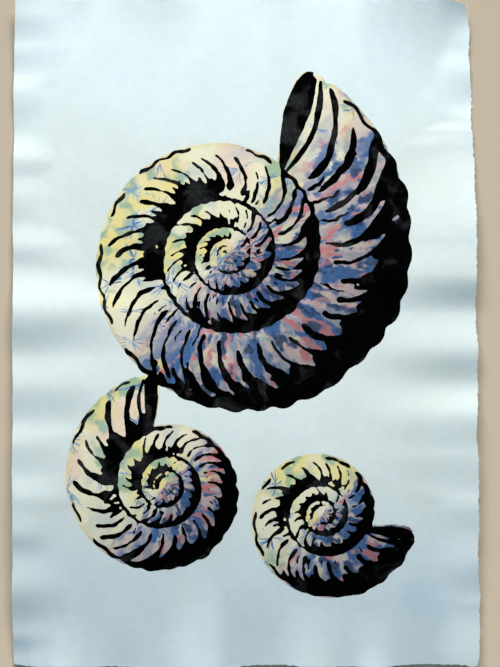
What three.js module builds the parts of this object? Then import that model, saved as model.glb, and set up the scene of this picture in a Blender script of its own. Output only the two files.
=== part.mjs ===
// An unframed ink and watercolour painting on a sheet of heavy mould-made paper, lying face up.
// The paper is one piece. Painting it wet has cockled its four edges into waves and bowed its lower half up,
// and the middle of its upper half lies flat.
// Millimetres, +Z up, +X to the picture's right and +Y to its top. The origin is under the middle of the
// sheet, on the surface that it rests on.
import * as THREE from "three";

const SHEET_LENGTH = 560;
const SHEET_WIDTH = 392;
const PAPER_THICKNESS = 0.55;
const DECKLE_THICKNESS = 0.3;

// The right-hand edge is the sheet's own deckle: it leans in towards the top, with a step in it a quarter of
// the way down. The left-hand edge was torn along a rule: it is straighter, and leans in only near the top.
const RIGHT_LEAN = 4.9;
const RIGHT_STEP = 3.4;
const RIGHT_STEP_FROM = 97;
const RIGHT_STEP_TO = 150;
const LEFT_LEAN = 1.9;
const WANDER = { left: 0.5, right: 1.1, top: 0.7, bottom: 0.4 };
const WANDER_PHASE = { left: 0.4, right: 2.3, top: 4.1, bottom: 5.6 };

// How far the tear cuts off each corner, across and up, and how sharply along the short and long edges.
const CORNER_CUTS = {
  top: { left: [0.6, 0.5], right: [4.4, 4.8] },
  bottom: { left: [0.9, 1.6], right: [1.6, 1.4] },
};
const CORNER_SHARPNESS = { across: 13, up: 17 };

// How far the foot's uneven tear stands out, at distances from the left.
const tear = (at, out) => ({ at, out });
const FOOT_TEAR = [
  tear(0, -0.4), tear(13, 0.2), tear(25, 1.3), tear(48, 1.5), tear(64, 0.9), tear(82, -0.3), tear(96, 0.2),
  tear(114, 1), tear(135, 1.6), tear(175, 1.6), tear(186, 0.9), tear(196, -0.7), tear(206, -1.4),
  tear(226, -1.5), tear(236, -0.4), tear(248, 0.6), tear(258, 1.2), tear(266, 0.9), tear(276, 0.1),
  tear(288, 0.3), tear(307, 1.2), tear(317, 0), tear(328, -1.2), tear(345, -1.5), tear(368, -1.3),
  tear(379, -0.7), tear(388, 1.2), tear(392, 1.2),
];

// The waves of each edge, as the heights that it rises and falls between. Each is given by its place along
// the edge, its height, and how far into the sheet it reaches. The long edges are counted from the top, the
// short ones from the left.
const level = (at, height, reach) => ({ at, height, reach });
const EDGE_WAVES = {
  left: [
    level(0, 3.85, 56), level(10, 3.8, 56), level(38, 2.05, 54), level(62, 1.0, 46), level(77, 1.65, 38),
    level(112, 0.1, 30), level(135, 1.7, 40), level(150, 1.2, 30), level(167, 1.5, 36),
    level(188, 1.0, 40), level(209, 2.0, 60), level(224, 1.4, 70), level(263, 4.5, 120),
    level(300, 1.2, 115), level(323, 2.0, 110), level(355, 0.1, 110), level(374, 1.0, 70),
    level(398, 0.3, 60), level(420, 1.3, 60), level(432, 1.2, 50), level(447, 1.4, 46),
    level(466, 0.5, 46), level(496, 1.8, 50), level(524, 0.7, 46), level(533, 0.8, 44),
    level(549, 0.1, 40), level(560, 0.3, 34),
  ],
  right: [
    level(0, 0.6, 20), level(14, 0.2, 20), level(40, 1.35, 30), level(60, 1.45, 42), level(88, 0.1, 44),
    level(102, 0.9, 36), level(112, 1.25, 54), level(124, 1.3, 72), level(202, 5.3, 100),
    level(231, 5.8, 112), level(264, 2.0, 122), level(293, 3.2, 118), level(324, 0.3, 115),
    level(351, 2.4, 110), level(380, 1.3, 100), level(411, 0.4, 70), level(425, 0.8, 50),
    level(448, 0.2, 45), level(474, 0.8, 45), level(498, 0.1, 40), level(510, 0.4, 40),
    level(560, 2.8, 42),
  ],
  top: [
    level(0, 0.8, 26), level(20, 0.5, 26), level(38, 0.6, 34), level(56, 1.1, 36), level(72, 0.3, 34),
    level(95, 0.9, 34), level(138, 1.4, 46), level(165, 0.1, 40), level(200, 0.1, 60), level(226, 1.3, 80),
    level(250, 0.1, 60), level(283, 0.1, 70), level(304, 2.8, 85), level(324, 4.3, 92),
    level(345, 5.0, 80), level(370, 5.2, 50), level(392, 4.8, 46),
  ],
  bottom: [
    level(0, 0.2, 40), level(8, 0.4, 42), level(22, 1.9, 44), level(38, 3.1, 45), level(66, 1.5, 52),
    level(95, 0.6, 72), level(118, 1.3, 80), level(150, 5.0, 88), level(163, 4.7, 88), level(184, 0.3, 60),
    level(215, 0.8, 64), level(250, 3.6, 60), level(281, 1.2, 55), level(301, 2.8, 48),
    level(330, 0.6, 60), level(352, 0.3, 60), level(380, 1.0, 45), level(392, 0.9, 45),
  ],
};
// The higher, the longer a wave keeps its height on its way in before it fades.
const HOLD = { left: 2, right: 2, top: 1, bottom: 1 };

// The bow in the lower half: it rises from one distance from the top to a crest at another, and falls from
// there to the foot.
const BOW_RISE = 4.5;
const BOW_FROM = 230;
const BOW_CREST = 420;

const COLUMNS = 22;
const ROWS = 96;
const EDGE_CROWDING = 0.6;

// How far an edge wanders in and out, at a distance along it.
function wander(along, edge) {
  const phase = WANDER_PHASE[edge];
  const slow = 0.5 * Math.sin(along / 17 + phase);
  const middling = 0.3 * Math.sin(along / 8.3 + 2.1 * phase);
  const quick = 0.2 * Math.sin(along / 4.7 + 3.7 * phase);
  return WANDER[edge] * (slow + middling + quick);
}

// One of the levels' figures at a distance along an edge, easing from each level to the next.
function easedBetween(levels, along, figure) {
  let i = 1;
  while (i < levels.length - 1 && levels[i].at < along) {
    i++;
  }
  const share = THREE.MathUtils.smoothstep(along, levels[i - 1].at, levels[i].at);
  return THREE.MathUtils.lerp(levels[i - 1][figure], levels[i][figure], share);
}

// The place on the flattened sheet of the shares u and v, from -1 at its left and foot to 1 at its right
// and top.
function placeOf(u, v) {
  const across = (1 + u) / 2;
  const up = (1 + v) / 2;
  const fromTop = (1 - up) * SHEET_LENGTH;
  const fromLeft = across * SHEET_WIDTH;
  const step = 1 - THREE.MathUtils.smoothstep(fromTop, RIGHT_STEP_FROM, RIGHT_STEP_TO);
  const left = -SHEET_WIDTH / 2 + LEFT_LEAN * up ** 4 + wander(fromTop, "left");
  const right = SHEET_WIDTH / 2 - RIGHT_LEAN * up - RIGHT_STEP * step + wander(fromTop, "right");
  const foot = -SHEET_LENGTH / 2 + wander(fromLeft, "bottom") - easedBetween(FOOT_TEAR, fromLeft, "out");
  const head = SHEET_LENGTH / 2 + wander(fromLeft, "top");
  const [cutAcross, cutUp] = CORNER_CUTS[v < 0 ? "bottom" : "top"][u < 0 ? "left" : "right"];
  const nearCorner = Math.abs(u) ** CORNER_SHARPNESS.across * Math.abs(v) ** CORNER_SHARPNESS.up;
  return {
    x: left + across * (right - left) - Math.sign(u) * cutAcross * nearCorner,
    y: foot + up * (head - foot) - Math.sign(v) * cutUp * nearCorner,
  };
}

// The height of one edge's waves at a distance along it, fading with the distance in from it.
function edgeWave(edge, along, inwards) {
  const height = easedBetween(EDGE_WAVES[edge], along, "height");
  const reach = easedBetween(EDGE_WAVES[edge], along, "reach");
  const t = THREE.MathUtils.clamp(inwards / reach, 0, 1);
  return height * (1 - t ** HOLD[edge]) ** 2;
}

// The height of the bow at a distance from the sheet's top.
function bowAt(fromTop) {
  const rising = THREE.MathUtils.smoothstep(fromTop, BOW_FROM, BOW_CREST);
  const fallen = THREE.MathUtils.clamp((fromTop - BOW_CREST) / (SHEET_LENGTH - BOW_CREST), 0, 1);
  return BOW_RISE * rising * Math.cos((Math.PI / 2) * fallen);
}

// The height of the sheet's underside over the surface that it rests on.
function heightAt(x, y) {
  const fromTop = SHEET_LENGTH / 2 - y;
  const fromLeft = x + SHEET_WIDTH / 2;
  return (
    bowAt(fromTop) +
    edgeWave("left", fromTop, fromLeft) +
    edgeWave("right", fromTop, SHEET_WIDTH - fromLeft) +
    edgeWave("top", fromLeft, fromTop) +
    edgeWave("bottom", fromLeft, SHEET_LENGTH - fromTop)
  );
}

// A flat slab of one cell in depth, whose grid is laid out to the sheet's outline, crowded towards the
// long edges, and lifted into the waves.
function makeSheet() {
  const geometry = new THREE.BoxGeometry(2, 2, 2, COLUMNS, ROWS, 1);
  const position = geometry.getAttribute("position");
  for (let i = 0; i < position.count; i++) {
    const s = position.getX(i);
    const v = position.getY(i);
    const u = THREE.MathUtils.lerp(s, Math.sin((Math.PI / 2) * s), EDGE_CROWDING);
    const { x, y } = placeOf(u, v);
    const onRim = Math.abs(s) === 1 || Math.abs(v) === 1;
    const thickness = onRim ? DECKLE_THICKNESS : PAPER_THICKNESS;
    const isFace = position.getZ(i) > 0;
    position.setXYZ(i, x, y, heightAt(x, y) + (isFace ? thickness : 0));
  }
  geometry.deleteAttribute("normal");
  geometry.deleteAttribute("uv");
  geometry.computeBoundingBox();
  const middle = geometry.boundingBox.getCenter(new THREE.Vector3());
  geometry.translate(-middle.x, -middle.y, -geometry.boundingBox.min.z);
  geometry.computeVertexNormals();
  return geometry;
}

const paper = new THREE.MeshStandardMaterial({ color: 0xdce7ee, roughness: 0.9, metalness: 0 });

const painting = new THREE.Group();
const sheet = new THREE.Mesh(makeSheet(), paper);
sheet.name = "painted_sheet";
painting.add(sheet);

export default painting;
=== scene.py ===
"""An ink and watercolour study of three coiled shells on a sheet of deckle-edged paper, lying face up.

The paper and its drawing are laid out in millimetres, with the origin under the middle of the sheet, +X to
the picture's right and +Y to its top, and are turned into metres where a mesh is made.
"""

import math

import bpy
import numpy as np
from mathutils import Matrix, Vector
from mathutils.geometry import delaunay_2d_cdt
from mathutils.kdtree import KDTree


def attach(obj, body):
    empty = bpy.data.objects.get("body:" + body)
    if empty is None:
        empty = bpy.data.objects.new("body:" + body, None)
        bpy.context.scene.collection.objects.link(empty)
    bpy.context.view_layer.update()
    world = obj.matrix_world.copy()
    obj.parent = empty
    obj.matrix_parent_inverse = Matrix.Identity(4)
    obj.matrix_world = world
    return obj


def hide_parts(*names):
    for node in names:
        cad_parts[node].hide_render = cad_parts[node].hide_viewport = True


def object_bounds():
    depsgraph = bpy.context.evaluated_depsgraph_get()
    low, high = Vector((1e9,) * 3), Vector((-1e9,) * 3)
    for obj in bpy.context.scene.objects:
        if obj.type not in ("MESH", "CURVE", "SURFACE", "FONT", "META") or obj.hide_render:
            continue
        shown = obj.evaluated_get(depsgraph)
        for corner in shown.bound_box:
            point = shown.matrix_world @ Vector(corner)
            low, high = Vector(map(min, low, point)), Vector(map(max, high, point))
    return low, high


MM = 0.001
TURN = 2 * math.pi

# The sheet, as the solid has it.
SHEET_LENGTH = 560.0
SHEET_WIDTH = 392.0
PAPER_THICKNESS = 0.55
RIGHT_LEAN = 4.9
RIGHT_STEP = 3.4
RIGHT_STEP_FROM = 97
RIGHT_STEP_TO = 150
LEFT_LEAN = 1.9
WANDER = {"left": 0.5, "right": 1.1, "top": 0.7, "bottom": 0.4}
WANDER_PHASE = {"left": 0.4, "right": 2.3, "top": 4.1, "bottom": 5.6}
CORNER_CUTS = {
    "top left": (0.6, 0.5), "top right": (4.4, 4.8),
    "bottom left": (0.9, 1.6), "bottom right": (1.6, 1.4),
}
SHARPNESS_ACROSS = 13
SHARPNESS_UP = 17
# How far the foot's uneven tear stands out, at distances from the left.
FOOT_TEAR = (
    (0, -0.4), (13, 0.2), (25, 1.3), (48, 1.5), (64, 0.9), (82, -0.3), (96, 0.2), (114, 1), (135, 1.6),
    (175, 1.6), (186, 0.9), (196, -0.7), (206, -1.4), (226, -1.5), (236, -0.4), (248, 0.6), (258, 1.2),
    (266, 0.9), (276, 0.1), (288, 0.3), (307, 1.2), (317, 0), (328, -1.2), (345, -1.5), (368, -1.3),
    (379, -0.7), (388, 1.2), (392, 1.2),
)
# The heights that each edge's waves rise and fall between: each one's place along the edge, from the top or
# the left, its height, and how far into the sheet it reaches.
EDGE_WAVES = {
    "left": (
        (0, 3.85, 56), (10, 3.8, 56), (38, 2.05, 54), (62, 1.0, 46), (77, 1.65, 38), (112, 0.1, 30),
        (135, 1.7, 40), (150, 1.2, 30), (167, 1.5, 36), (188, 1.0, 40), (209, 2.0, 60), (224, 1.4, 70),
        (263, 4.5, 120), (300, 1.2, 115), (323, 2.0, 110), (355, 0.1, 110), (374, 1.0, 70), (398, 0.3, 60),
        (420, 1.3, 60), (432, 1.2, 50), (447, 1.4, 46), (466, 0.5, 46), (496, 1.8, 50), (524, 0.7, 46),
        (533, 0.8, 44), (549, 0.1, 40), (560, 0.3, 34),
    ),
    "right": (
        (0, 0.6, 20), (14, 0.2, 20), (40, 1.35, 30), (60, 1.45, 42), (88, 0.1, 44), (102, 0.9, 36),
        (112, 1.25, 54), (124, 1.3, 72), (202, 5.3, 100), (231, 5.8, 112), (264, 2.0, 122), (293, 3.2, 118),
        (324, 0.3, 115), (351, 2.4, 110), (380, 1.3, 100), (411, 0.4, 70), (425, 0.8, 50), (448, 0.2, 45),
        (474, 0.8, 45), (498, 0.1, 40), (510, 0.4, 40), (560, 2.8, 42),
    ),
    "top": (
        (0, 0.8, 26), (20, 0.5, 26), (38, 0.6, 34), (56, 1.1, 36), (72, 0.3, 34), (95, 0.9, 34),
        (138, 1.4, 46), (165, 0.1, 40), (200, 0.1, 60), (226, 1.3, 80), (250, 0.1, 60), (283, 0.1, 70),
        (304, 2.8, 85), (324, 4.3, 92), (345, 5.0, 80), (370, 5.2, 50), (392, 4.8, 46),
    ),
    "bottom": (
        (0, 0.2, 40), (8, 0.4, 42), (22, 1.9, 44), (38, 3.1, 45), (66, 1.5, 52), (95, 0.6, 72),
        (118, 1.3, 80), (150, 5.0, 88), (163, 4.7, 88), (184, 0.3, 60), (215, 0.8, 64), (250, 3.6, 60),
        (281, 1.2, 55), (301, 2.8, 48), (330, 0.6, 60), (352, 0.3, 60), (380, 1.0, 45), (392, 0.9, 45),
    ),
}
HOLD = {"left": 2, "right": 2, "top": 1, "bottom": 1}
BOW_RISE = 4.5
BOW_FROM = 230
BOW_CREST = 420
# What the looks add: fine roughness of the torn edges, thin rims, and shallow buckles over the whole sheet.
ROUGHNESS = {"left": 0.16, "right": 0.8, "top": 0.45, "bottom": 0.55}
ROUGHNESS_SEED = {"left": 11, "right": 12, "top": 13, "bottom": 14}
TEETH = ((3.1, 0.6, 0), (1.25, 0.4, 60))
RIM_THICKNESS = 0.16
RIM_TAPER = 4.5
BUCKLE_RISE = 0.55
BUCKLE_SIZE = 74.0
BUCKLE_SEED = 41

# The meshes: how far apart their points are, and how close to a line of points others may come.
RIM_STEP = 0.6
ACROSS_STEPS = round(SHEET_WIDTH / RIM_STEP)
UP_STEPS = round(SHEET_LENGTH / RIM_STEP)
FACE_STEP = 3.2
BACK_STEP = 6.0
CLEARANCE = 1.1

# The drawing's field of ink, the side that its shadows lie on, and the depth that stands for no ink.
FIELD_STEP = 0.8
FIELD_WIDTH = 330.0
FIELD_HEIGHT = 500.0
DARK_SIDE = math.radians(-42)
BLANK = -3.0

# The square that random blotches fill, and that the whole sheet fits in.
BLOTCH_SPAN = 640


def smooth(value, low, high):
    """Eases from 0 at low to 1 at high."""
    t = np.clip((value - low) / (high - low), 0, 1)
    return t * t * (3 - 2 * t)


def placed(name, data):
    """A new object in the scene."""
    made = bpy.data.objects.new(name, data)
    bpy.context.collection.objects.link(made)
    return made


def blotches(x, y, seed, size):
    """Smooth random values from -1 to 1 at the places x and y, in blotches of a size."""
    count = int(BLOTCH_SPAN / size) + 3
    values = np.random.default_rng(seed).uniform(-1, 1, (count, count))
    across = (x + BLOTCH_SPAN / 2) / size
    up = (y + BLOTCH_SPAN / 2) / size
    i = np.floor(across).astype(int)
    j = np.floor(up).astype(int)
    s = smooth(across - i, 0, 1)
    t = smooth(up - j, 0, 1)
    low = values[j, i] * (1 - s) + values[j, i + 1] * s
    high = values[j + 1, i] * (1 - s) + values[j + 1, i + 1] * s
    return low * (1 - t) + high * t


# The sheet's outline and its waves.


def wander(along, edge):
    """How far an edge wanders in and out, at distances along it."""
    phase = WANDER_PHASE[edge]
    slow = 0.5 * np.sin(along / 17 + phase)
    middling = 0.3 * np.sin(along / 8.3 + 2.1 * phase)
    quick = 0.2 * np.sin(along / 4.7 + 3.7 * phase)
    return WANDER[edge] * (slow + middling + quick)


def torn(edge, along):
    """How far the tear's fine roughness stands out, at distances from the middle of an edge."""
    teeth = 0
    for size, share, seed in TEETH:
        teeth = teeth + share * blotches(along, 0 * along, ROUGHNESS_SEED[edge] + seed, size)
    return ROUGHNESS[edge] * teeth


def place_of(u, v, roughness=1.0):
    """Places on the flattened sheet, by shares from -1 at its left and foot to 1 at its right and top."""
    across = (1 + u) / 2
    up = (1 + v) / 2
    from_top = (1 - up) * SHEET_LENGTH
    from_left = across * SHEET_WIDTH
    out = {edge: roughness * torn(edge, from_top - SHEET_LENGTH / 2) for edge in ("left", "right")}
    out |= {edge: roughness * torn(edge, from_left - SHEET_WIDTH / 2) for edge in ("top", "bottom")}
    step = 1 - smooth(from_top, RIGHT_STEP_FROM, RIGHT_STEP_TO)
    left = -SHEET_WIDTH / 2 + LEFT_LEAN * up ** 4 + wander(from_top, "left") - out["left"]
    right = SHEET_WIDTH / 2 - RIGHT_LEAN * up - RIGHT_STEP * step + wander(from_top, "right") + out["right"]
    foot = -SHEET_LENGTH / 2 + wander(from_left, "bottom") - out["bottom"]
    foot = foot - eased_between(FOOT_TEAR, from_left, 1)
    head = SHEET_LENGTH / 2 + wander(from_left, "top") + out["top"]
    places = np.stack([left + across * (right - left), foot + up * (head - foot)], axis=-1)
    near_corner = np.abs(u) ** SHARPNESS_ACROSS * np.abs(v) ** SHARPNESS_UP
    for name, cut in CORNER_CUTS.items():
        side_u = -1 if "left" in name else 1
        side_v = -1 if "bottom" in name else 1
        here = np.where((u * side_u > 0) & (v * side_v > 0), near_corner, 0)
        places -= here[..., None] * np.array(cut) * (side_u, side_v)
    return places


def eased_between(levels, along, column):
    """One of the levels' values at distances along an edge, easing from each level to the next."""
    at = np.array([level[0] for level in levels], float)
    values = np.array([level[column] for level in levels], float)
    i = np.clip(np.searchsorted(at, along) - 1, 0, len(at) - 2)
    return values[i] + (values[i + 1] - values[i]) * smooth(along, at[i], at[i + 1])


def edge_wave(edge, along, inwards):
    """The height of one edge's waves at distances along it, fading with the distance in from it."""
    levels = EDGE_WAVES[edge]
    t = np.clip(inwards / eased_between(levels, along, 2), 0, 1)
    return eased_between(levels, along, 1) * (1 - t ** HOLD[edge]) ** 2


def bow_at(from_top):
    """The height of the bow in the sheet's lower half, at distances from its top."""
    fallen = np.clip((from_top - BOW_CREST) / (SHEET_LENGTH - BOW_CREST), 0, 1)
    return BOW_RISE * smooth(from_top, BOW_FROM, BOW_CREST) * np.cos(math.pi / 2 * fallen)


def height_at(x, y):
    """The height of the sheet's underside over what it lies on."""
    from_top = SHEET_LENGTH / 2 - y
    from_left = x + SHEET_WIDTH / 2
    waves = (
        bow_at(from_top)
        + edge_wave("left", from_top, from_left)
        + edge_wave("right", from_top, SHEET_WIDTH - from_left)
        + edge_wave("top", from_left, from_top)
        + edge_wave("bottom", from_left, SHEET_LENGTH - from_top)
    )
    broad = blotches(x, y, BUCKLE_SEED, BUCKLE_SIZE)
    narrow = blotches(x, y, BUCKLE_SEED + 1, BUCKLE_SIZE / 2.1)
    return waves + BUCKLE_RISE * (1 + 0.7 * broad + 0.3 * narrow) / 2


def outline():
    """The sheet's torn edge, as points anticlockwise from its lower left corner."""
    across = np.linspace(-1, 1, ACROSS_STEPS, endpoint=False)
    up = np.linspace(-1, 1, UP_STEPS, endpoint=False)
    return np.concatenate([
        place_of(across, -np.ones_like(across)),
        place_of(np.ones_like(up), up),
        place_of(-across, np.ones_like(across)),
        place_of(-np.ones_like(up), -up),
    ])


# The drawing, as a field of ink: each sample is its depth inside the nearest stroke, in millimetres.

XS = np.arange(-FIELD_WIDTH / 2, FIELD_WIDTH / 2 + FIELD_STEP / 2, FIELD_STEP)
YS = np.arange(-FIELD_HEIGHT / 2, FIELD_HEIGHT / 2 + FIELD_STEP / 2, FIELD_STEP)
GRID_X, GRID_Y = np.meshgrid(XS, YS)


def wobble(along, rng):
    """A slow random wander from about -1 to 1 along a stroke."""
    total = 0
    for rate, share in ((1.0, 0.5), (2.3, 0.3), (4.9, 0.2)):
        total = total + share * np.sin(rate * along + rng.uniform(0, TURN))
    return total


def stroke(ink, path, widths):
    """Lays a brush stroke on the ink, as discs along a path."""
    for first in range(0, len(path), 16):
        part = path[first:first + 17]
        radii = widths[first:first + 17] / 2
        reach = radii.max() - BLANK
        i0, i1 = np.searchsorted(XS, (part[:, 0].min() - reach, part[:, 0].max() + reach))
        j0, j1 = np.searchsorted(YS, (part[:, 1].min() - reach, part[:, 1].max() + reach))
        if i0 < i1 and j0 < j1:
            across = XS[i0:i1][None, :, None] - part[:, 0]
            up = YS[j0:j1][:, None, None] - part[:, 1]
            depth = (radii - np.hypot(across, up)).max(axis=2)
            ink[j0:j1, i0:i1] = np.maximum(ink[j0:j1, i0:i1], depth)


def lifted(ink, path, widths, keep, end_length):
    """Lays the kept runs of a stroke whose brush lifts between them, each run tapered at its ends."""
    turns = np.flatnonzero(np.diff(keep.astype(int))) + 1
    for run in np.split(np.arange(len(path)), turns):
        if keep[run[0]] and len(run) > 3:
            from_end = np.minimum(np.arange(len(run)), np.arange(len(run))[::-1])
            taper = np.clip(0.4 + from_end / min(end_length, len(run) / 3), 0, 1)
            stroke(ink, path[run], widths[run] * taper)


class Shell:
    """A coiled shell seen from its side. Its outer edge grows by a fixed ratio with each turn.

    A place on it is phi, the bearing counted along the coil, and u, the share of the way across the whorl.
    """

    growth = 1.95
    thinning = 0.2

    def __init__(self, centre, radius, mouth, hand, ribs, seed):
        self.centre = np.array(centre, float)
        self.radius = radius
        self.mouth = math.radians(mouth)
        self.hand = hand
        self.ribs = ribs
        self.seed = seed
        self.rng = np.random.default_rng(seed)
        self.rate = math.log(self.growth) / TURN
        self.locate()

    def edge(self, phi):
        """The coil's outer radius."""
        return self.radius * np.exp(self.rate * (phi - self.mouth))

    def bearing(self, phi):
        """The angle of phi on the paper, anticlockwise from +X."""
        return phi if self.hand > 0 else math.pi - phi

    def at_radius(self, phi, r):
        """The points at phi and a distance from the shell's centre."""
        angle = self.bearing(phi)
        return self.centre + np.stack([r * np.cos(angle), r * np.sin(angle)], axis=-1)

    def point(self, phi, u):
        """The points at phi and a share of the way across the whorl."""
        inner = self.edge(phi - TURN)
        return self.at_radius(phi, inner + u * (self.edge(phi) - inner))

    def facing(self, phi, u):
        """From -1 on the lit side of a whorl's round to 1 on its dark side."""
        return np.cos(self.bearing(phi) - DARK_SIDE) * (2 * u - 1)

    def lean(self, u):
        """How far a rib leans towards the mouth across the whorl, in radians."""
        share = np.clip(u, 0, 1)
        return 0.26 * share ** 1.8 - 0.07 * np.sin(math.pi * share)

    def near_lip(self, u):
        """How far the mouth's near edge stands beyond the coil's end, in radians."""
        return 0.5 * self.lean(u) - 0.06

    def lip(self, u):
        """How far the mouth's far edge stands beyond the coil's end, in radians."""
        return self.near_lip(u) + 0.05 + 0.16 * np.sin(math.pi * np.clip(u, 0, 1)) ** 0.7

    def locate(self):
        """Finds every grid sample's phi and u, and its depth inside the shell's outline."""
        x = GRID_X - self.centre[0]
        y = GRID_Y - self.centre[1]
        self.r = np.hypot(x, y) + 1e-6
        angle = np.arctan2(y, x)
        theta = angle if self.hand > 0 else math.pi - angle
        at_edge = self.mouth + np.log(self.r / self.radius) / self.rate
        self.phi = at_edge + np.mod(theta - at_edge, TURN)
        inner = self.edge(self.phi - TURN)
        self.height = self.edge(self.phi) - inner
        self.u = (self.r - inner) / self.height
        outermost = self.mouth - np.mod(self.mouth - theta, TURN)
        beyond_edge = self.r - self.edge(outermost)
        self.past_mouth = (self.phi - self.mouth) * self.r
        beyond_lip = self.past_mouth - self.lip(self.u) * self.r
        in_lip = (beyond_edge > 0) & (beyond_lip <= 0)
        outside = np.minimum(beyond_edge, np.where(beyond_lip > 0, beyond_lip, 1e3))
        self.depth = np.where(in_lip, -beyond_lip, -outside)

    def combed(self):
        """Places in which a round blotch is a streak on the shell, along the ribs."""
        x = GRID_X - self.centre[0]
        y = GRID_Y - self.centre[1]
        squeezed = (self.r / self.radius) ** 0.42 * self.radius / self.r
        return np.stack([x * squeezed, y * squeezed, 0 * x], axis=-1)

    def draw(self, ink, hidden=None):
        """Adds the shell's ink, except where nearer shells hide it."""
        layer = np.full_like(ink, BLANK)
        self.draw_shadow(layer)
        self.draw_ribs(layer)
        self.draw_coil(layer)
        self.draw_mouth(layer)
        if hidden is not None:
            layer = np.where(hidden > -1.6, BLANK, layer)
        np.maximum(ink, layer, out=ink)

    def ribs_in_turn(self, phi):
        """How many ribs the turn at phi has: fewer, the further in it is."""
        turns_in = np.floor((self.mouth - phi) / TURN)
        return np.maximum(12, self.ribs * (1 - self.thinning * turns_in))

    def draw_shadow(self, ink):
        """Solid black on the dark side of each whorl, toothed between the ribs."""
        dark = self.facing(self.phi, self.u)
        phase = (self.phi - self.lean(self.u)) * self.ribs_in_turn(self.phi)
        limit = 0.3 + 0.14 * np.cos(phase) + 0.16 * (self.u < 0.5)
        limit += 0.2 * blotches(GRID_X, GRID_Y, self.seed + 1, 15)
        limit += 0.09 * blotches(GRID_X, GRID_Y, self.seed + 2, 5)
        depth = np.where((self.phi < self.mouth) & (self.depth > 0), (dark - limit) * self.height / 2, BLANK)
        np.maximum(ink, np.clip(depth, BLANK, -BLANK), out=ink)

    def draw_ribs(self, ink):
        """The ribs from the mouth inwards, unevenly spaced, with short strokes between some of them."""
        rng = self.rng
        phi = self.mouth - 0.24
        while self.edge(phi) > 0.11 * self.radius:
            spacing = TURN / float(self.ribs_in_turn(phi))
            gap = self.edge(phi) * spacing
            self.draw_rib(ink, phi, gap, rng.uniform(0.03, 0.17), rng.uniform(0.86, 1.0))
            if rng.random() < 0.55:
                start = rng.uniform(0.0, 0.14)
                self.draw_rib(ink, phi - 0.5 * spacing, 0.5 * gap, start, start + rng.uniform(0.2, 0.42))
            phi -= spacing * rng.uniform(0.8, 1.2)

    def draw_rib(self, ink, phi, gap, first, last):
        """One rib: a stroke across the whorl, thick where it is dark, lifted where it catches the light."""
        rng = self.rng
        height = self.edge(phi) - self.edge(phi - TURN)
        count = max(8, int(height / 0.7))
        t = np.linspace(0, 1, count)
        u = first + (last - first) * t
        at = phi + self.lean(u) + 0.018 * wobble(5 * t, rng)
        dark = self.facing(at, u)
        press = np.clip(t * 5 + 0.3, 0, 1) * np.clip((1 - t) * 6 + 0.35, 0, 1)
        weight = rng.uniform(0.75, 1.3) * (0.17 + 0.66 * np.clip(dark, 0, 1) ** 1.3)
        widths = gap * weight * press * (1 + 0.38 * wobble(7 * t, rng))
        lit = np.clip(-dark, 0, 1)
        lift = t[np.argmax(lit)] + rng.uniform(-0.14, 0.14)
        half = rng.uniform(0.05, 0.34) * lit.max() if lit.max() > 0.35 else -1
        lifted(ink, self.point(at, u), np.clip(widths, 1.0, None), np.abs(t - lift) > half, 5)

    def draw_coil(self, ink):
        """The outline and, inside it, the seam between the whorls, both heavy on their dark side."""
        rng = self.rng
        turns = 3.1
        count = int(TURN * turns * self.radius * 0.55 / FIELD_STEP)
        phi = np.linspace(self.mouth - TURN * turns, self.mouth + self.lip(1.0), count)
        r = self.edge(phi)
        r = r * (1 + 0.010 * np.cos(self.ribs * phi) + 0.008 * wobble(3.1 * phi, rng))
        dark = np.cos(self.bearing(phi) - DARK_SIDE)
        is_outline = phi > self.mouth - TURN
        outline_width = 3.0 + 0.05 * self.radius * np.clip(dark + 0.2, 0, 1) ** 1.6
        seam_width = (1.1 + 0.03 * r) * (1 + 0.5 * np.clip(-dark, 0, 1))
        widths = np.where(is_outline, outline_width, seam_width) * (1 + 0.32 * wobble(9 * phi, rng))
        beat = np.sin(9.3 * phi + 1.6 * np.sin(3.7 * phi + self.seed))
        keep = ~(is_outline & (dark < -0.1) & (beat > 0.3))
        lifted(ink, self.at_radius(phi, r), widths, keep, 6)

    def draw_mouth(self, ink):
        """The lip, the hollow behind it, black but for a slit of light, and the rim of the far side."""
        rng = self.rng
        scale = self.radius / 160
        t = np.linspace(0, 1, 110)
        swell = np.sin(math.pi * t)
        lip = self.point(self.mouth + self.lip(t), t)
        stroke(ink, lip, 0.8 + (2.0 + 2.6 * swell) * scale * (1 + 0.3 * wobble(8 * t, rng)))
        near = self.point(self.mouth + self.near_lip(t), t)
        uneven = 1 + 0.3 * wobble(9 * t, rng)
        stroke(ink, near[4:-3], (0.8 + (1.6 + 2.2 * swell) * scale * uneven)[4:-3])
        into = self.past_mouth - self.near_lip(self.u) * self.r
        width = (self.lip(self.u) - self.near_lip(self.u)) * self.r
        share = into / width
        slit = 0.36 + 0.2 * blotches(GRID_X, GRID_Y, self.seed + 5, 11) + 0.5 * self.u
        hollow = np.minimum(share, 1 - share) * width
        hollow = np.minimum(hollow, (np.abs(share - 0.22) - 0.2 * (1.15 - slit)) * width)
        in_whorl = (self.u > 0.02) & (self.u < 0.98) & (np.abs(self.phi - self.mouth) < 1)
        hollow = np.where(in_whorl, hollow, BLANK)
        np.maximum(ink, np.clip(hollow, BLANK, -BLANK), out=ink)


def pooled(field, passes):
    """Rounds the field off a little, as ink pools in the corners where strokes meet."""
    for _ in range(passes):
        padded = np.pad(field, ((1, 1), (0, 0)), mode="edge")
        field = (padded[:-2] + padded[2:] + 2 * field) / 4
        padded = np.pad(field, ((0, 0), (1, 1)), mode="edge")
        field = (padded[:, :-2] + padded[:, 2:] + 2 * field) / 4
    return field


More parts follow.
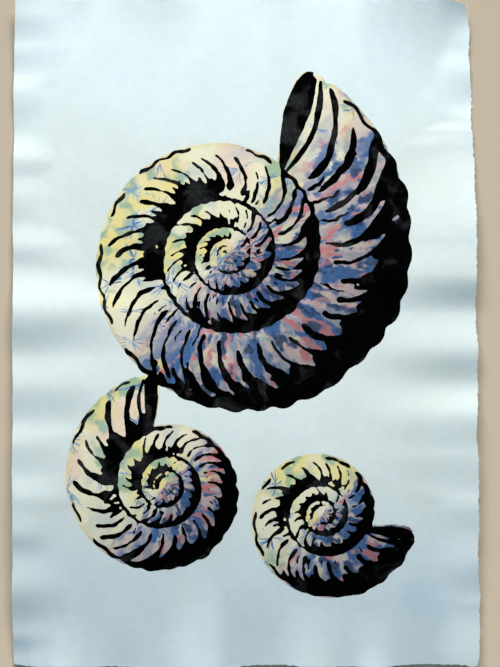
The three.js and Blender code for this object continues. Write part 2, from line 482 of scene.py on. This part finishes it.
def draw_shells():
    """The whole drawing: its field of ink, and the fields that the wash is laid by.

    Those are the depth inside its outline, how far each sample faces the dark, and its place in the streaks.
    """
    near = Shell(centre=(-68, -128), radius=92, mouth=75, hand=-1, ribs=27, seed=21)
    small = Shell(centre=(64, -152), radius=76, mouth=-20, hand=1, ribs=23, seed=33)
    great = Shell(centre=(-16, 66), radius=166, mouth=58, hand=1, ribs=37, seed=7)
    ink = np.full_like(GRID_X, BLANK)
    great.draw(ink, np.maximum(near.depth, small.depth))
    small.draw(ink, near.depth)
    near.draw(ink)
    ink = pooled(ink, 2)
    ink += 0.24 * blotches(GRID_X, GRID_Y, 3, 3.2) + 0.1 * blotches(GRID_X, GRID_Y, 4, 1.7)
    wash = np.full_like(ink, -1e3)
    dusk = np.zeros_like(ink)
    combed = np.zeros((*ink.shape, 3))
    for shell in (great, small, near):
        here = shell.depth > wash
        wash = np.where(here, shell.depth, wash)
        facing = 0.4 * shell.facing(shell.phi, shell.u) + 0.75 * np.cos(shell.bearing(shell.phi) - DARK_SIDE)
        dusk = np.where(here, facing, dusk)
        combed = np.where(here[..., None], shell.combed(), combed)
    return ink, {"wash": np.clip(wash, -6, 6), "dusk": pooled(dusk, 4), "combed": combed}


def sampled(field, x, y):
    """The field's value at places, by straight lines between its samples."""
    across = np.clip((x - XS[0]) / FIELD_STEP, 0, len(XS) - 1.001)
    up = np.clip((y - YS[0]) / FIELD_STEP, 0, len(YS) - 1.001)
    i = across.astype(int)
    j = up.astype(int)
    shape = (-1,) + (1,) * (field.ndim - 2)
    s = (across - i).reshape(shape)
    t = (up - j).reshape(shape)
    low = field[j, i] * (1 - s) + field[j, i + 1] * s
    high = field[j + 1, i] * (1 - s) + field[j + 1, i + 1] * s
    return low * (1 - t) + high * t


def ink_edges(ink):
    """The lines where the ink ends, as points and pairs of them, found cell by cell (marching squares)."""
    rows, columns = ink.shape
    wet = ink > 0
    shy = 0.12

    def crossing(low, high):
        return np.clip(low / (low - high), shy, 1 - shy)

    points = []
    flat_j, flat_i = np.nonzero(wet[:, :-1] != wet[:, 1:])
    share = crossing(ink[flat_j, flat_i], ink[flat_j, flat_i + 1])
    points.append(np.stack([XS[flat_i] + share * FIELD_STEP, YS[flat_j]], axis=-1))
    flat = np.full((rows, columns), -1)
    flat[flat_j, flat_i] = np.arange(len(flat_i))
    up_j, up_i = np.nonzero(wet[:-1] != wet[1:])
    share = crossing(ink[up_j, up_i], ink[up_j + 1, up_i])
    points.append(np.stack([XS[up_i], YS[up_j] + share * FIELD_STEP], axis=-1))
    upright = np.full((rows, columns), -1)
    upright[up_j, up_i] = len(flat_i) + np.arange(len(up_i))
    pairs = []
    cells = np.stack([flat[:-1, :-1], upright[:-1, 1:], flat[1:, :-1], upright[:-1, :-1]], axis=-1)
    crossed = (cells >= 0).sum(axis=-1)
    for j, i in zip(*np.nonzero(crossed)):
        sides = cells[j, i]
        met = [int(side) for side in sides if side >= 0]
        if len(met) == 2:
            pairs.append(tuple(met))
        else:
            middle_wet = ink[j:j + 2, i:i + 2].mean() > 0
            foot, right, head, left = (int(side) for side in sides)
            cut_corners = bool(wet[j, i]) != middle_wet
            pairs += [(foot, left), (head, right)] if cut_corners else [(foot, right), (head, left)]
    return np.concatenate(points), pairs


# The mesh of the sheet.


def triangulated(loop, points, pairs=()):
    """Triangles, anticlockwise, that fill a loop through the given points and keep the pairs as edges.

    The filling also covers the loop's bays, by triangles that run backwards round it. Those are dropped.
    """
    places = [Vector(map(float, p)) for p in np.concatenate([loop, points])]
    pairs = [(a + len(loop), b + len(loop)) for a, b in pairs]
    found = delaunay_2d_cdt(places, pairs, [list(range(len(loop)))], 1, 1e-4, False)
    triangles = np.array(found[2])
    rising = (np.roll(triangles, -1, axis=1) > triangles).sum(axis=1)
    in_a_bay = (triangles < len(loop)).all(axis=1) & (rising < 2)
    return np.array([tuple(p) for p in found[0]]), triangles[~in_a_bay]


def filling_points(step, rim_tree, ink_tree=None):
    """Points in staggered rows inside the sheet, none close to its rim or to an edge of the ink."""
    rows = np.arange(-SHEET_LENGTH / 2, SHEET_LENGTH / 2, step * 0.87)
    points = []
    for n, y in enumerate(rows):
        start = -SHEET_WIDTH / 2 + (n % 2) * step / 2
        for x in np.arange(start, SHEET_WIDTH / 2, step):
            points.append((x, y))
    points = np.array(points)
    u = points[:, 0] / (SHEET_WIDTH / 2)
    v = points[:, 1] / (SHEET_LENGTH / 2)
    points = place_of(u, v, roughness=0.0)
    kept = []
    for x, y in points:
        if rim_tree.find((x, y, 0))[2] < CLEARANCE:
            continue
        if ink_tree and ink_tree.find((x, y, 0))[2] < CLEARANCE:
            continue
        kept.append((x, y))
    return np.array(kept)


def tree_of(points):
    """A tree in which the nearest of the points is found."""
    tree = KDTree(len(points))
    for i, (x, y) in enumerate(points):
        tree.insert((x, y, 0), i)
    tree.balance()
    return tree


def normals_at(x, y, upwards):
    """The sheet's own normals, worked out from its waves."""
    aside = 0.5
    slope_x = (height_at(x + aside, y) - height_at(x - aside, y)) / (2 * aside)
    slope_y = (height_at(x, y + aside) - height_at(x, y - aside)) / (2 * aside)
    normals = np.stack([-slope_x, -slope_y, np.ones_like(x)], axis=-1)
    normals /= np.linalg.norm(normals, axis=1)[:, None]
    return normals if upwards else -normals


def make_sheet():
    """The paper: a thin closed body with its drawing's edges in the mesh of its face."""
    rim = outline()
    rim_tree = tree_of(rim)
    ink, wash = draw_shells()
    ink_points, ink_pairs = ink_edges(ink)
    ink_tree = tree_of(ink_points)
    filling = filling_points(FACE_STEP, rim_tree, ink_tree)
    face_xy, face = triangulated(rim, np.concatenate([ink_points, filling]), ink_pairs)
    back_xy, back = triangulated(rim, filling_points(BACK_STEP, rim_tree))

    from_rim = np.array([rim_tree.find((x, y, 0))[2] for x, y in face_xy])
    thickness = RIM_THICKNESS + (PAPER_THICKNESS - RIM_THICKNESS) * smooth(from_rim, 0, RIM_TAPER)
    face_z = height_at(face_xy[:, 0], face_xy[:, 1]) + thickness
    back_z = height_at(back_xy[:, 0], back_xy[:, 1])
    vertices = np.concatenate([np.column_stack([face_xy, face_z]), np.column_stack([back_xy, back_z])])
    back = back[:, ::-1] + len(face_xy)

    below = {(round(x, 2), round(y, 2)): i + len(face_xy) for i, (x, y) in enumerate(back_xy)}
    wall = []
    for a, b in rim_edges(face):
        foot_a = below[tuple(np.round(face_xy[a], 2))]
        foot_b = below[tuple(np.round(face_xy[b], 2))]
        wall.append((b, a, foot_a))
        wall.append((b, foot_a, foot_b))
    triangles = np.concatenate([face, back, np.array(wall)])

    middle = (vertices.max(axis=0) + vertices.min(axis=0)) / 2
    shift = np.array([-middle[0], -middle[1], 0])
    mesh = bpy.data.meshes.new("painted_sheet_looks")
    mesh.from_pydata((vertices + shift) * MM, [], triangles.tolist())
    mesh.polygons.foreach_set("use_smooth", np.ones(len(triangles), bool))
    is_bare = np.arange(len(triangles)) >= len(face)
    mesh.polygons.foreach_set("material_index", is_bare.astype(int))
    normals = np.concatenate([
        normals_at(face_xy[:, 0], face_xy[:, 1], True),
        normals_at(back_xy[:, 0], back_xy[:, 1], False),
    ])
    mesh.normals_split_custom_set_from_vertices(normals)
    store_drawing(mesh, face_xy, face, ink, wash)
    lay_bake_map(mesh, vertices, triangles, len(face), len(face) + len(back))
    rim_z = height_at(rim[:, 0], rim[:, 1]) + RIM_THICKNESS / 2
    return mesh, np.column_stack([rim, rim_z]) + shift


def rim_edges(triangles):
    """The directed edges that only one triangle has."""
    seen = set()
    for a, b, c in triangles.tolist():
        seen.update(((a, b), (b, c), (c, a)))
    return [(a, b) for a, b in seen if (b, a) not in seen]


def store_drawing(mesh, xy, face, ink, wash):
    """Keeps the drawing on the mesh: the ink on each corner of a triangle, the wash's fields on vertices."""
    middle = xy[face].mean(axis=1)
    inked = sampled(ink, middle[:, 0], middle[:, 1]) > 0
    depth = np.abs(sampled(ink, xy[:, 0], xy[:, 1]))[face]
    signed = np.where(inked[:, None], 0.25 + depth, -0.25 - depth)
    corners = np.full(len(mesh.loops), BLANK)
    corners[:signed.size] = signed.ravel()
    mesh.attributes.new("ink", "FLOAT", "CORNER").data.foreach_set("value", corners)
    for name, field in wash.items():
        kind, key = ("FLOAT", "value") if field.ndim == 2 else ("FLOAT_VECTOR", "vector")
        values = np.full((len(mesh.vertices), *field.shape[2:]), -6.0 if name == "wash" else 0.0)
        values[:len(xy)] = sampled(field, xy[:, 0], xy[:, 1])
        mesh.attributes.new(name, kind, "POINT").data.foreach_set(key, values.ravel())


# The map for textures: the millimetres that it spans, and the rest in shares of it.
MAP_SPAN = 566
MAP_MARGIN = 0.003
BACK_WIDTH = 0.21
BACK_START = 0.775
STRIPS_START = 0.708
STRIP_PITCH = 0.014
STRIP_WIDTH = 0.005


def lay_bake_map(mesh, vertices, triangles, face_end, back_end):
    """A map for textures: the painted face fills most of it, with the back and the rim beside it."""
    full_scale = 1 / MAP_SPAN
    back_scale = BACK_WIDTH / SHEET_WIDTH
    places = np.zeros((len(triangles), 3, 2))
    corner = vertices[triangles]
    low = np.array([-SHEET_WIDTH / 2 - 1, -SHEET_LENGTH / 2 - 1.5])
    places[:face_end] = (corner[:face_end, :, :2] - low) * full_scale + MAP_MARGIN
    back = corner[face_end:back_end, :, :2]
    places[face_end:back_end] = (back - low) * back_scale + (BACK_START, MAP_MARGIN)
    wall = corner[back_end:]
    side = np.argmax(np.abs(wall.mean(axis=1)[:, :2]) / (SHEET_WIDTH / 2, SHEET_LENGTH / 2), axis=1)
    sign = np.take_along_axis(wall.mean(axis=1)[:, :2], side[:, None], axis=1)[:, 0] > 0
    along = np.where(side[:, None] == 0, wall[..., 1], wall[..., 0])
    is_foot = triangles[back_end:] >= triangles[face_end:back_end].min()
    strip = STRIPS_START + STRIP_PITCH * (2 * side + sign)[:, None] + STRIP_WIDTH * is_foot
    up = (along + SHEET_LENGTH / 2 + 2) * full_scale + MAP_MARGIN
    places[back_end:] = np.stack([strip, up], axis=-1)
    layer = mesh.uv_layers.new(name="OFBake", do_init=False)
    layer.data.foreach_set("uv", places.ravel())


# The loose fibres of the torn edges.

FIBRE_LENGTH = 1.5
FIBRE_WIDTH = 0.13
FIBRE_BEND = 0.2
FIBRE_SEED = 4
# What share of each edge's points have a fibre, in the order of the outline.
FIBRE_SHARES = {"bottom": 0.4, "right": 0.5, "top": 0.4, "left": 0.06}


def fibre_tree():
    """Geometry Nodes that set bent, tapering fibres on some of an edge's points, facing outwards."""
    tree = bpy.data.node_groups.new("loose_fibres", "GeometryNodeTree")
    kinds = {
        "Edge": "Geometry", "Length": "Float", "Width": "Float", "Bend": "Float", "Seed": "Int",
        "Material": "Material",
    }
    for name, kind in kinds.items():
        tree.interface.new_socket(name, in_out="INPUT", socket_type="NodeSocket" + kind)
    tree.interface.new_socket("Fibres", in_out="OUTPUT", socket_type="NodeSocketGeometry")
    given = tree.nodes.new("NodeGroupInput")
    edge, length, width, bend, seed, material = [Wire(tree, given.outputs[name]) for name in kinds]

    def add(kind, inputs, output=0, **settings):
        return node(tree, kind, settings, inputs, output)

    def random(kind, low_high, offset, output):
        return add("FunctionNodeRandomValue", {**low_high, "Seed": seed + offset}, output, data_type=kind)

    sizes = {"Radius Top": width * 0.12, "Radius Bottom": width * 0.5, "Depth": length}
    straight = add("GeometryNodeMeshCone", {"Vertices": 3, "Side Segments": 3, **sizes})
    height = add("ShaderNodeSeparateXYZ", {"Vector": add("GeometryNodeInputPosition", {})}, "Z")
    aside = add("ShaderNodeCombineXYZ", {"X": height * height / length * bend})
    fibre = add("GeometryNodeSetPosition", {"Geometry": straight, "Offset": aside})
    outwards = add("GeometryNodeInputNamedAttribute", {"Name": "outwards"}, data_type="FLOAT_VECTOR")
    stray = random("FLOAT_VECTOR", {0: (-0.9, -0.9, 0.1), 1: (0.9, 0.9, 0.5)}, 1, 0)
    heading = add("ShaderNodeVectorMath", {0: outwards, 1: stray}, operation="ADD")
    share = add("GeometryNodeInputNamedAttribute", {"Name": "share"}, data_type="FLOAT")
    tufts = add("GeometryNodeInstanceOnPoints", {
        "Points": edge,
        "Selection": random("BOOLEAN", {"Probability": share}, 2, 3),
        "Instance": fibre,
        "Rotation": add("FunctionNodeAlignRotationToVector", {"Vector": heading}, axis="Z"),
        "Scale": random("FLOAT_VECTOR", {0: (0.6, 0.6, 0.3), 1: (1.3, 1.3, 1.4)}, 3, 0),
    })
    plain = add("GeometryNodeRealizeInstances", {"Geometry": tufts})
    made = add("GeometryNodeSetMaterial", {"Geometry": plain, "Material": material})
    tree.links.new(made.socket, tree.nodes.new("NodeGroupOutput").inputs["Fibres"])
    return tree


def make_fibres(edge, material):
    """The fibres that stand out of the torn edge, as a plain mesh."""
    mesh = bpy.data.meshes.new("torn_edge")
    mesh.from_pydata(edge * MM, [], [])
    along = np.roll(edge, -1, axis=0) - np.roll(edge, 1, axis=0)
    outwards = np.column_stack([along[:, 1], -along[:, 0], 0 * along[:, 0]])
    outwards /= np.linalg.norm(outwards, axis=1)[:, None]
    mesh.attributes.new("outwards", "FLOAT_VECTOR", "POINT").data.foreach_set("vector", outwards.ravel())
    shares = np.repeat(list(FIBRE_SHARES.values()), [ACROSS_STEPS, UP_STEPS, ACROSS_STEPS, UP_STEPS])
    mesh.attributes.new("share", "FLOAT", "POINT").data.foreach_set("value", shares)
    source = placed("torn_edge", mesh)
    modifier = source.modifiers.new("fibres", "NODES")
    modifier.node_group = fibre_tree()
    values = {
        "Length": FIBRE_LENGTH * MM, "Width": FIBRE_WIDTH * MM, "Bend": FIBRE_BEND,
        "Seed": FIBRE_SEED, "Material": material,
    }
    for socket in modifier.node_group.interface.items_tree:
        if socket.name in values:
            modifier[socket.identifier] = values[socket.name]
    found = source.evaluated_get(bpy.context.evaluated_depsgraph_get())
    made = bpy.data.meshes.new_from_object(found)
    source.modifiers.remove(modifier)
    bpy.data.objects.remove(source)
    return placed("deckle_fibres", made)


# Materials.


def paint(red, green, blue):
    """A colour from its 0 to 255 values on a screen, as the linear colour that a shader takes."""
    def linear(channel):
        share = channel / 255
        return share / 12.92 if share <= 0.04045 else ((share + 0.055) / 1.055) ** 2.4
    return (linear(red), linear(green), linear(blue), 1.0)


class Wire:
    """A socket's value, on which sums can be written: each operator adds a Math node."""

    def __init__(self, tree, socket):
        self.tree = tree
        self.socket = socket

    def sum(self, operation, *values):
        return node(self.tree, "ShaderNodeMath", {"operation": operation}, dict(enumerate(values)))

    def __add__(self, other):
        return self.sum("ADD", self, other)

    def __radd__(self, other):
        return self.sum("ADD", other, self)

    def __sub__(self, other):
        return self.sum("SUBTRACT", self, other)

    def __rsub__(self, other):
        return self.sum("SUBTRACT", other, self)

    def __mul__(self, other):
        return self.sum("MULTIPLY", self, other)

    def __truediv__(self, other):
        return self.sum("DIVIDE", self, other)


def node(tree, kind, settings, inputs, output=0):
    """Adds a node: its settings first, then its sockets' values or wires, and returns one output."""
    made = tree.nodes.new(kind)
    for name, value in settings.items():
        setattr(made, name, value)
    for name, value in inputs.items():
        if isinstance(value, Wire):
            tree.links.new(value.socket, made.inputs[name])
        else:
            made.inputs[name].default_value = value
    return Wire(tree, made.outputs[output])


class Finish:
    """A material being built, with the few kinds of node that this sheet's paper and paint need."""

    def __init__(self, name):
        self.material = bpy.data.materials.new(name)
        self.material.use_nodes = True
        self.tree = self.material.node_tree
        self.shader = self.tree.nodes["Principled BSDF"]
        place = self.node("ShaderNodeTexCoord", {}, {}, "Object")
        self.place = self.scaled(place, 1 / MM)

    def node(self, kind, settings, inputs, output=0):
        return node(self.tree, kind, settings, inputs, output)

    def stored(self, name, output="Fac"):
        return self.node("ShaderNodeAttribute", {"attribute_name": name}, {}, output)

    def scaled(self, vector, scale):
        return self.node("ShaderNodeVectorMath", {"operation": "SCALE"}, {"Vector": vector, "Scale": scale})

    def up(self):
        """How far up the sheet a place is from its middle, in millimetres."""
        return self.node("ShaderNodeSeparateXYZ", {}, {"Vector": self.place}, "Y")

    def vector(self, operation, *values, output=0):
        """A sum on vectors."""
        return self.node("ShaderNodeVectorMath", {"operation": operation}, dict(enumerate(values)), output)

    def added(self, a, b):
        return self.vector("ADD", a, b)

    def noise(self, size, detail=2.0, distortion=0.0, offset=0.0, vector=None, output="Fac"):
        """Noise whose blotches are of a size in millimetres, around one half."""
        where = self.added(vector or self.place, (offset, offset, offset))
        values = {"Vector": where, "Scale": 1 / size, "Detail": detail, "Distortion": distortion}
        return self.node("ShaderNodeTexNoise", {}, values, output)

    def eased(self, value, low, high):
        """Eases from 0 where value is low to 1 where it is high."""
        settings = {"interpolation_type": "SMOOTHSTEP"}
        return self.node("ShaderNodeMapRange", settings, {"Value": value, "From Min": low, "From Max": high})

    def blend(self, share, under, over, how="MIX"):
        settings = {"data_type": "RGBA", "blend_type": how}
        return self.node("ShaderNodeMix", settings, {"Factor": share, 6: under, 7: over}, 2)

    def connect(self, name, value):
        self.tree.links.new(value.socket, self.shader.inputs[name])

    def set(self, **values):
        for name, value in values.items():
            self.shader.inputs[name.replace("_", " ")].default_value = value


PAPER_WHITE = paint(234, 247, 253)
PAPER_SHADE = paint(230, 242, 244)
PAPER_FLECK = paint(222, 238, 250)
# Painted light: a warm tint standing in for a less blue light over the sheet's middle.
PAPER_WARM_LIGHT = paint(255, 248, 232)
SPECK = paint(196, 160, 140)
SMUDGE = paint(142, 196, 236)
CREAM = paint(247, 240, 208)
PEACH = paint(248, 222, 196)
BLUSH = paint(240, 206, 198)
YELLOW = paint(246, 226, 116)
TEAL = paint(128, 178, 160)
MIST = paint(164, 190, 208)
LILAC = paint(146, 150, 180)
ROSE = paint(226, 152, 146)
PINK = paint(218, 126, 130)
SKY = paint(92, 146, 208)
COBALT = paint(24, 97, 164)
DEEP_BLUE = paint(4, 44, 92)
SHADE = paint(150, 152, 166)
INK_BLACK = paint(0, 0, 0)
INK_THIN = paint(50, 52, 54)
TOOTH_STRENGTH = 0.6
STAIN_CENTRE = (148.0, -224.0, 0.0)
STAIN_SIZE = 32.0
STAIN_SHARE = 0.2
# How strongly that painted warm light tints the paper.
WARM_LIGHT_SHARE = 0.34


def painted_light_band(finish):
    """How much painted warm light tints the paper, and so makes it less blue: most in a wide band across its
    middle.
    """
    height = finish.up()
    return finish.eased(height, -215, -125) * (1 - finish.eased(height, 140, 205)) * WARM_LIGHT_SHARE


def paper_colour(finish):
    """The paper's white, with warm and cool clouds, fine flecks, a band of painted warm light and a few tiny
    specks.
    """
    clouds = finish.eased(finish.noise(46, 3.0, offset=70), 0.35, 0.68)
    colour = finish.blend(clouds, PAPER_WHITE, PAPER_SHADE)
    flecks = finish.eased(finish.noise(7.0, 3.0, offset=410), 0.4, 0.7) * 0.4
    colour = finish.blend(flecks, colour, PAPER_FLECK)
    # Painted light: the paper is tinted warmer across its middle, standing in for a less blue light there.
    colour = finish.blend(painted_light_band(finish), colour, PAPER_WARM_LIGHT, "MULTIPLY")
    cell = finish.node("ShaderNodeTexVoronoi", {}, {"Vector": finish.place, "Scale": 1 / 62})
    spot = 1 - finish.eased(cell, 0.008, 0.016)
    return finish.blend(spot * 0.5, colour, SPECK)


def stained(finish):
    """A soft, faint stain on the bare paper, beside the drawing."""
    away = finish.vector("DISTANCE", finish.place, STAIN_CENTRE, output="Value")
    ragged = finish.noise(14, 2.0, 0.4, offset=140) * 1.2 - 0.6
    return (1 - finish.eased(away / STAIN_SIZE + ragged, 0.0, 1.0)) * STAIN_SHARE


def tooth(finish, height):
    """The paper's cold-pressed tooth, and its felt marks, as bump of a height in millimetres."""
    grain = finish.noise(1.6, 3.0, offset=5) * 0.7 + finish.noise(5.5, 2.0, offset=9) * 0.4
    values = {"Height": grain, "Strength": TOOTH_STRENGTH, "Distance": height * MM}
    finish.connect("Normal", finish.node("ShaderNodeBump", {}, values))


def feather(finish, size, spokes, seed, vector):
    """Crystals of pigment: soft needles fanning to one side of scattered centres, paler at their tips."""
    where = finish.added(vector, (seed, seed, 0.0))
    settings = {"voronoi_dimensions": "2D"}
    values = {"Vector": where, "Scale": 1 / size, "Randomness": 1.0}
    centre = finish.node("ShaderNodeTexVoronoi", settings, values, "Position")
    chance = finish.node("ShaderNodeTexVoronoi", settings, values, "Color")
    away = finish.vector("SUBTRACT", finish.vector("MULTIPLY", where, (1.0, 1.0, 0.0)), centre)
    length = finish.vector("LENGTH", away, output="Value") / size
    heading = finish.vector("NORMALIZE", away)
    own = finish.scaled(chance, 40.0)
    needle = finish.noise(1.0, 1.0, vector=finish.added(finish.scaled(heading, spokes), own))
    spread = finish.noise(1.0, 0.0, vector=finish.added(finish.scaled(heading, 0.8), own), offset=61)
    reach = (finish.eased(needle, 0.4, 0.72) * 0.75 + 0.13) * finish.eased(spread, 0.4, 0.62)
    present = finish.eased(finish.node("ShaderNodeSeparateColor", {}, {"Color": chance}, "Red"), 0.42, 0.6)
    broken = finish.eased(finish.noise(4.5, 1.0, offset=180), 0.3, 0.52)
    paling = 1.1 - length * 1.2
    return finish.eased(reach - length, -0.05, 0.28) * paling * present * (0.25 + broken * 0.75)


def drop(finish, colour, amount, pale, strong):
    """Lays a drop of wet paint on the colour: pale where it has spread, strong at its heart."""
    colour = finish.blend(finish.eased(amount, 0.0, 0.55) * 0.85, colour, pale)
    return finish.blend(finish.eased(amount, 0.35, 0.9) * 0.95, colour, strong)


def wash_colour(finish, dusk):
    """Wet washes: cream, peach and yellow in the light, blue, violet and pink towards the dusk."""
    wavy = finish.added(finish.noise(8.0, 1.0, offset=31, output="Color"), (-0.5, -0.5, -0.5))
    bent = finish.added(finish.place, finish.scaled(wavy, 9.0))
    crystals = finish.added(finish.place, finish.scaled(wavy, 4.0))
    streaks = finish.added(finish.stored("combed", "Vector"), finish.scaled(wavy, 9.0))
    deep = finish.eased(dusk, -0.3, 0.45)

    def patches(size, offset, low, high, lean=0.0):
        """Soft patches, which lean makes larger towards the dusk."""
        return finish.eased(finish.noise(size, 1.3, 0.4, offset, bent) + dusk * lean, low, high)

    def streaked(size, offset, low, high):
        """Patches on the dusk side alone, drawn out along the ribs."""
        return finish.eased(finish.noise(size, 1.0, 0.0, offset, streaks), low, high) * deep

    colour = finish.blend(patches(55, 210, 0.46, 0.62), CREAM, PEACH)
    sunny = patches(44, 120, 0.49, 0.63, -0.06)
    colour = finish.blend(sunny * 0.7, colour, YELLOW)
    colour = finish.blend(patches(17, 95, 0.47, 0.63) * finish.eased(sunny, 0.0, 0.5) * 0.75, colour, TEAL)
    colour = finish.blend(patches(26, 300, 0.55, 0.72) * 0.4, colour, MIST)
    colour = drop(finish, colour, feather(finish, 30.0, 8.5, 53.0, crystals), MIST, SKY)
    colour = drop(finish, colour, feather(finish, 23.0, 6.0, 17.0, crystals), SKY, COBALT)
    colour = finish.blend(streaked(22, 30, 0.36, 0.52) * 0.75, colour, LILAC)
    colour = finish.blend(streaked(13, 110, 0.47, 0.6) * 0.85, colour, BLUSH)
    colour = drop(finish, colour, streaked(15, 170, 0.44, 0.63), LILAC, COBALT)
    colour = drop(finish, colour, streaked(13, 230, 0.55, 0.7), ROSE, PINK)
    colour = drop(finish, colour, streaked(12, 290, 0.52, 0.68), COBALT, DEEP_BLUE)
    return finish.blend(finish.eased(dusk, -0.2, 0.9) * 0.8, colour, SHADE, "MULTIPLY")


def make_painted_face():
    """The face: bare paper, the wash over it and the ink over both."""
    finish = Finish("painted_face")
    dusk = finish.stored("dusk")
    ragged = finish.noise(7, 3.0, offset=15) - 0.5
    depth = finish.stored("wash") + ragged * 3.0
    covered = finish.eased(depth, -3.4, -2.0)
    gathered = finish.eased(depth, -3.2, -2.2) * (1 - finish.eased(depth, -1.4, 1.6))
    granules = finish.eased(finish.noise(2.2, 3.0, offset=44), 0.3, 0.75)
    paper = paper_colour(finish)
    bare = finish.blend(stained(finish), paper, SMUDGE)
    wash = wash_colour(finish, dusk)
    wash = finish.blend(gathered * 0.25, wash, YELLOW, "MULTIPLY")
    wash = finish.blend(granules * 0.06, wash, paper)
    colour = finish.blend(covered * 0.97, bare, wash)

    edge = finish.stored("ink") + (finish.noise(1.3, 3.0, offset=3) - 0.5) * 0.9
    inked = finish.eased(edge, -0.1, 0.1)
    thin = finish.eased(finish.noise(21, 3.0, 0.7, offset=260) - dusk * 0.07, 0.5, 0.7)
    streaks = finish.eased(finish.noise(3.0, 3.0, 1.0, offset=80), 0.3, 0.8)
    ink = finish.blend(thin * (0.35 + streaks * 0.65), INK_BLACK, INK_THIN)
    colour = finish.blend(inked, colour, ink)
    finish.connect("Base Color", colour)
    finish.connect("Roughness", 0.9 - inked * 0.22 + thin * inked * 0.1)
    finish.set(Specular_IOR_Level=0.02)
    tooth(finish, 0.06)
    return finish.material


def make_plain_back():
    """The back and the torn rim: the same paper, bare."""
    finish = Finish("plain_back")
    finish.connect("Base Color", paper_colour(finish))
    finish.connect("Roughness", 0.88 + finish.noise(3.0) * 0.08)
    finish.set(Specular_IOR_Level=0.28)
    tooth(finish, 0.04)
    return finish.material


# The scene round the sheet. These are where its edges are in the photograph.

PHOTO_WIDTH_PX = 500
PHOTO_HEIGHT_PX = 667
SHEET_TOP_PX = -0.9
SHEET_FOOT_PX = 667.8
SHEET_LEFT_PX = 12.0
SHEET_RIGHT_PX = 480.4
# The floor looks evenly bright in spite of the light's fall, so its colour makes up for that.
FLOOR_UNDER_LIGHT = (0.1, 0.084, 0.066, 1.0)
FLOOR_FAR = (0.518, 0.435, 0.346, 1.0)
FLOOR_NEAR = (0.91, 0.729, 0.553, 1.0)
FLOOR_HALF = 4.0
WINDOW_PLACE = (0.0, 2.3, 0.66)
WINDOW_SIZE = (2.2, 0.45)
WINDOW_POWER = 158
WINDOW_COLOUR = (1.0, 0.965, 0.88)
SKY_COLOUR = (0.62, 1.0, 1.32, 1)
SKY_STRENGTH = 0.19
CAMERA_HEIGHT = 2.0


def make_floor():
    """The plain surface that the sheet lies on."""
    mesh = bpy.data.meshes.new("floor")
    signs = ((-1, -1), (1, -1), (1, 1), (-1, 1))
    mesh.from_pydata([(x * FLOOR_HALF, y * FLOOR_HALF, 0) for x, y in signs], [], [(0, 1, 2, 3)])
    finish = Finish("floor_card")
    height = finish.up()
    far = finish.node("ShaderNodeMapRange", {}, {"Value": height, "From Min": -290.0, "From Max": 290.0})
    beyond = finish.node("ShaderNodeMapRange", {}, {"Value": height, "From Min": 290.0, "From Max": 1500.0})
    colour = finish.blend(far, FLOOR_NEAR, FLOOR_FAR)
    finish.connect("Base Color", finish.blend(beyond, colour, FLOOR_UNDER_LIGHT))
    finish.set(Roughness=0.95, Specular_IOR_Level=0.1)
    mesh.materials.append(finish.material)
    return placed("floor", mesh)


def light_scene():
    """A low, wide window light from beyond the picture's top, and the sky's blue light all round."""
    data = bpy.data.lights.new("window", "AREA")
    data.shape = "RECTANGLE"
    data.size, data.size_y = WINDOW_SIZE
    data.energy = WINDOW_POWER
    data.color = WINDOW_COLOUR
    window = placed("window", data)
    window.location = WINDOW_PLACE
    to_middle = Vector((0, 0, 0)) - Vector(WINDOW_PLACE)
    window.rotation_euler = to_middle.to_track_quat("-Z", "Y").to_euler()
    world = bpy.data.worlds.new("studio")
    world.use_nodes = True
    background = world.node_tree.nodes["Background"]
    background.inputs["Color"].default_value = SKY_COLOUR
    background.inputs["Strength"].default_value = SKY_STRENGTH
    bpy.context.scene.world = world
    bpy.context.scene.view_settings.view_transform = "Standard"


def make_camera(sheet_length):
    """The camera looks straight down, with the sheet where the photograph has it."""
    metres_per_px = sheet_length / (SHEET_FOOT_PX - SHEET_TOP_PX)
    data = bpy.data.cameras.new("camera")
    data.sensor_fit = "VERTICAL"
    data.sensor_height = 36.0
    data.lens = data.sensor_height * CAMERA_HEIGHT / (PHOTO_HEIGHT_PX * metres_per_px)
    camera = placed("camera", data)
    right = (PHOTO_WIDTH_PX - SHEET_LEFT_PX - SHEET_RIGHT_PX) / 2 * metres_per_px
    up = -(PHOTO_HEIGHT_PX - SHEET_TOP_PX - SHEET_FOOT_PX) / 2 * metres_per_px
    camera.location = (right, up, CAMERA_HEIGHT)
    bpy.context.scene.camera = camera


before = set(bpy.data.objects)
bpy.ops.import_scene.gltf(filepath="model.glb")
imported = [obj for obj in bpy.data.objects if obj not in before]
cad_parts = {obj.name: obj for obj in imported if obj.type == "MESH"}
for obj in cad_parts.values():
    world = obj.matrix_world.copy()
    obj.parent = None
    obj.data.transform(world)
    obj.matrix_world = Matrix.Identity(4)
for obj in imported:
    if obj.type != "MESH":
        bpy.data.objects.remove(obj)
cad_low, cad_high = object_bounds()
make_camera(cad_high.y - cad_low.y)

sheet_mesh, torn_edge = make_sheet()
plain_back = make_plain_back()
sheet_mesh.materials.append(make_painted_face())
sheet_mesh.materials.append(plain_back)
sheet = placed("painted_sheet_looks", sheet_mesh)
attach(sheet, "root")
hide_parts("painted_sheet")
fibres = make_fibres(torn_edge, plain_back)
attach(fibres, "root")

floor = make_floor()
light_scene()
